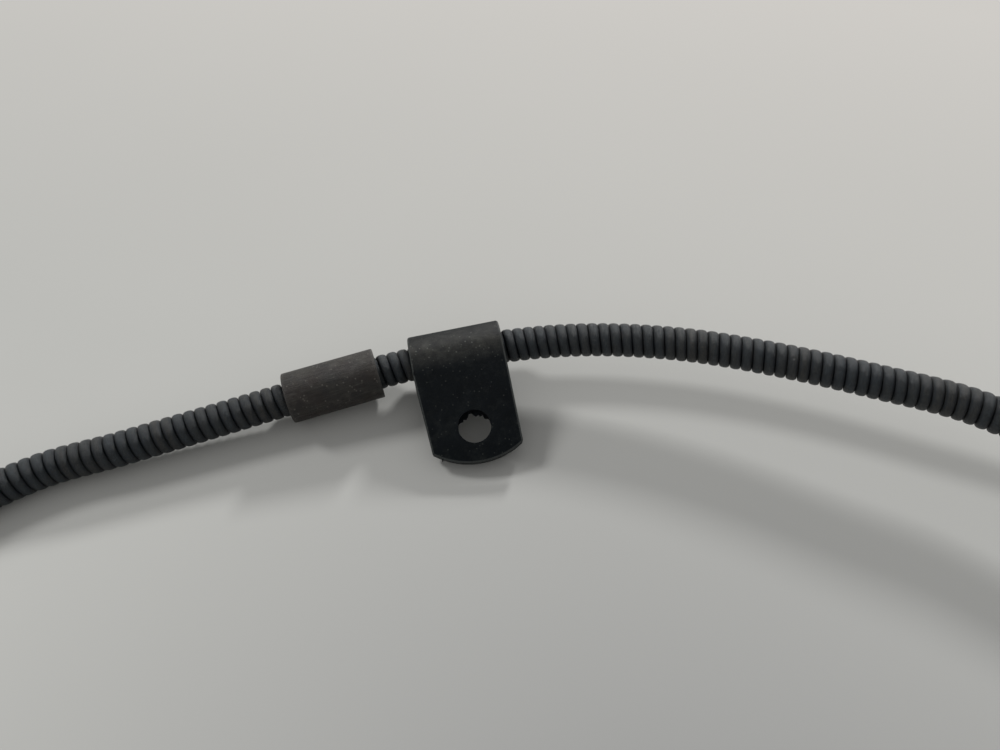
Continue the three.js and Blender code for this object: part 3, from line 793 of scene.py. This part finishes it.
def front_fittings():
    """What stands on the front end of the conduit and of the strand"""
    collar = ferrule([(4, FERRULE_RADIUS), (4, FLANGE_RADIUS), (6.5, FLANGE_RADIUS), (6.5, 5.5), (9.5, 5.5),
                      (9.5, 4.4), (11.6, 4.4), (11.6, 5.5), (16, 5.5)])
    retaining = swept([(9.8, 4.7), (9.8, 7.8), (11.3, 7.8), (11.3, 4.7)], 127, 286, 64, edge=0.15)
    washer = turned([(62.3, NUT_BORE), (62.3, 6.5), (63.7, 6.5), (63.7, NUT_BORE)], 72, 0.2)
    pull = "front_pull_end"
    return [finished(name, form, FRONT_END, body, material, node_name)
            for name, form, body, slot, material, node_name in (
        ("front_ferrule_turned", collar, "casing", "fitting_steel", FITTING, "front_ferrule"),
        ("front_clip_sheet", retaining, "casing", "spring_steel", SPRING, "front_retaining_clip"),
        ("front_seal_bush", bush(12.3), "casing", "black_rubber", RUBBER, "front_seal"),
        ("front_strand_wires", laid_strand(-20, 49.2), pull, "strand_steel", STRAND, "strand_front"),
        ("stud_thread", stud(), pull, "plated_steel", PLATED, "threaded_stud"),
        ("stud_washer_disc", washer, pull, "plated_steel", PLATED, "stud_washer"),
        ("adjusting_nut_hexagon", nut(64, 69.5), pull, "plated_steel", PLATED, "adjusting_nut"),
        ("lock_nut_hexagon", nut(69.8, 73.8), pull, "plated_steel", PLATED, "lock_nut"),
    )]


def rear_fittings():
    """What stands on the rear end; the spring is built at rest and gets a mesh of its own, and on the real cable it
    shortens as the end button is pulled in
    """
    collar = ferrule([(14.5, FERRULE_RADIUS), (14.5, FLANGE_RADIUS), (17, FLANGE_RADIUS), (17, 5), (29.2, 5),
                      (29.2, 5.8), (30, 5.4)])
    cup = turned([(55, 6), (55, 7.2), (58.8, 7.2), (58.8, SLIDING_BORE), (57.6, SLIDING_BORE), (57.6, 6)], 72, 0.35)
    button = turned([(67, 0), (67, SLIDING_BORE), (59.1, SLIDING_BORE), (59.1, 4.75), (68.1, 4.75), (68.1, 0)],
                    64, 0.7, closed=False)
    spring = finished("return_spring_coil", coil_spring(), REAR_END, "casing", SPRING,
                      "return_spring")
    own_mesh(spring)
    pull = "rear_return_end"
    for name, form, body, slot, material, node_name in (
        ("rear_ferrule_turned", collar, "casing", "fitting_steel", FITTING, "rear_ferrule"),
        ("finger_collar", fingers(), "casing", "spring_steel", SPRING, "finger_retainer"),
        ("rear_seal_bush", bush(26.3), "casing", "black_rubber", RUBBER, "rear_seal"),
        ("rear_strand_wires", laid_strand(-14, 66.7), pull, "strand_steel", STRAND, "strand_rear"),
        ("spring_cup_pressing", cup, pull, "fitting_steel", FITTING, "spring_cup"),
        ("end_button_turned", button, pull, "fitting_steel", FITTING, "end_button"),
    ):
        finished(name, form, REAR_END, body, material, node_name)


front_end = front_fittings()
rear_fittings()

# The middle of the strand lies hidden in the conduit and keeps its plain solid
middle_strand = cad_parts["strand_core"].data
middle_strand.materials.clear()
middle_strand.materials.append(STRAND)


# Floor and light

def table():
    """A plain pale table top, with painted light that makes it lighter towards its far right and a painted shadow
    that makes it darker near the camera
    """
    form = bmesh.new()
    bmesh.ops.create_grid(form, x_segments=2, y_segments=2, size=1.5)
    mesh = mesh_of(form)
    floor = bpy.data.objects.new("table", mesh)
    bpy.context.scene.collection.objects.link(floor)
    material, tree, shader = new_material("table_top")
    spot = here(tree)
    cloud = node(tree, "ShaderNodeTexNoise", Vector=spot, Scale=9.0, Detail=4.0)
    plain = mixed(tree, cloud.outputs[0], colour(193, 193, 189), colour(199, 199, 195))
    across = node(tree, "ShaderNodeSeparateXYZ", Vector=spot)
    # Painted light: the table's colour rises towards its far right
    outward = math_of(tree, "ADD", across.outputs[1], times(tree, across.outputs[0], 0.3))
    plain = mixed(tree, ramp(tree, outward, 0.04, 0.3), plain, colour(216, 213, 208))
    # Painted shadow: a broad darker patch on the table near the camera
    centred = node(tree, "ShaderNodeMapping", {"vector_type": "TEXTURE"}, Vector=spot,
                   Location=(0.005, -0.07, 0.0), Scale=(0.16, 0.15, 1.0)).outputs[0]
    near = node(tree, "ShaderNodeTexGradient", {"gradient_type": "SPHERICAL"}, Vector=centred)
    plain = mixed(tree, ramp(tree, near.outputs["Fac"], 0.0, 0.7), plain, colour(170, 170, 168))
    tree.links.new(plain, shader.inputs["Base Color"])
    shader.inputs["Roughness"].default_value = 0.6
    shader.inputs["Specular IOR Level"].default_value = 0.0
    mesh.materials.append(material)


def lamp(name, towards, strength, spread):
    """A far soft lamp that shines along a direction"""
    light = bpy.data.lights.new(name, "SUN")
    light.energy = strength
    light.angle = math.radians(spread)
    holder = bpy.data.objects.new(name, light)
    holder.rotation_euler = Vector(towards).to_track_quat("-Z", "Y").to_euler()
    bpy.context.scene.collection.objects.link(holder)


table()
lamp("left_lamp", (0.99, -0.64, -1), 1.15, 13)
lamp("back_lamp", (-0.69, -1.97, -1), 1.95, 8)
world = bpy.data.worlds.new("room")
bpy.context.scene.world = world
world.use_nodes = True
room_light = world.node_tree.nodes["Background"]
room_light.inputs["Color"].default_value = (1, 1, 1, 1)
room_light.inputs["Strength"].default_value = 0.4
